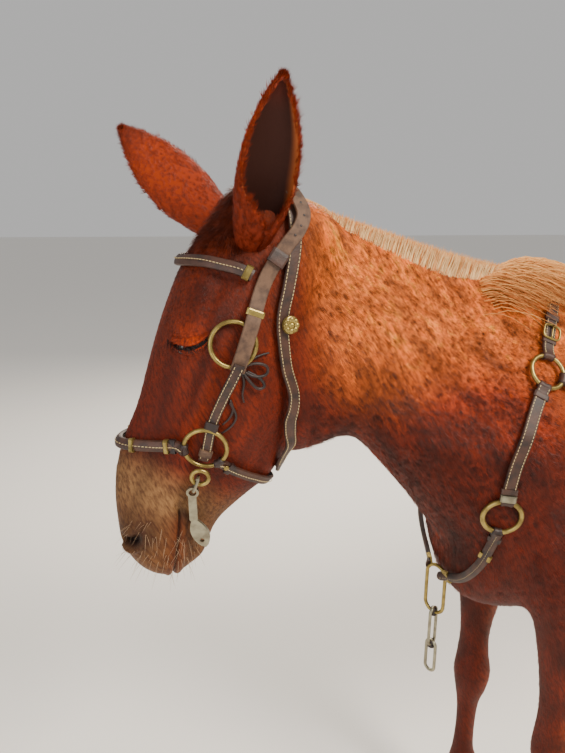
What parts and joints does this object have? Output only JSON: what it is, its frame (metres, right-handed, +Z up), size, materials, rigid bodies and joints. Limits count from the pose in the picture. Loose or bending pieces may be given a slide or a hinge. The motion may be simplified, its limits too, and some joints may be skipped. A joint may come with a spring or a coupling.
{
  "type": "live mule",
  "caption": "Standing saddle mule at life size, long ears turned two ways, in bridle and breast collar without reins",
  "frame": {"origin": "on the floor under the middle of the bounding box", "axes": "+Z up, +X towards the tail along the longest extent, the mule faces -X and its left side is towards -Y"},
  "size_m": [2.1404, 0.58, 1.6908],
  "materials": {
    "coat": "short chestnut hair",
    "hair": "long flaxen and chestnut hair",
    "hoof": "dark horn",
    "eye": "wet dark brown",
    "leather": "dark brown worn leather",
    "brass": "dull worn brass",
    "steel": "dull worn steel"
  },
  "bodies": {
    "root": {"head": "coat", "neck": "coat", "torso": "coat", "leg_front_left": "coat", "hoof_front_left": "hoof", "leg_front_right": "coat", "hoof_front_right": "hoof", "leg_hind_left": "coat", "hoof_hind_left": "hoof", "leg_hind_right": "coat", "hoof_hind_right": "hoof", "ear_left": "coat", "eye_left": "eye", "ear_right": "coat", "eye_right": "eye", "tail": "hair", "mane": "hair", "throat_strap": "leather", "crown_strap": "leather", "browband": "leather", "noseband": "leather", "chin_strap": "leather", "surcingle": "leather", "wither_strap": "leather", "breast_ring": "brass", "breast_chain_1": "steel", "breast_chain_2": "steel", "cheek_ring_left": "brass", "nose_ring_left": "brass", "bit_ring_left": "brass", "shoulder_ring_left": "brass", "chest_ring_left": "brass", "rosette_left": "brass", "bit_link_left": "steel", "bit_cheek_left": "steel", "lower_cheek_strap_left": "leather", "shoulder_strap_left": "leather", "breast_strap_left": "leather", "rear_strap_left": "leather", "cheek_ring_right": "brass", "nose_ring_right": "brass", "bit_ring_right": "brass", "shoulder_ring_right": "brass", "chest_ring_right": "brass", "rosette_right": "brass", "bit_link_right": "steel", "bit_cheek_right": "steel", "lower_cheek_strap_right": "leather", "shoulder_strap_right": "leather", "breast_strap_right": "leather", "rear_strap_right": "leather"}
  },
  "joints": []
}
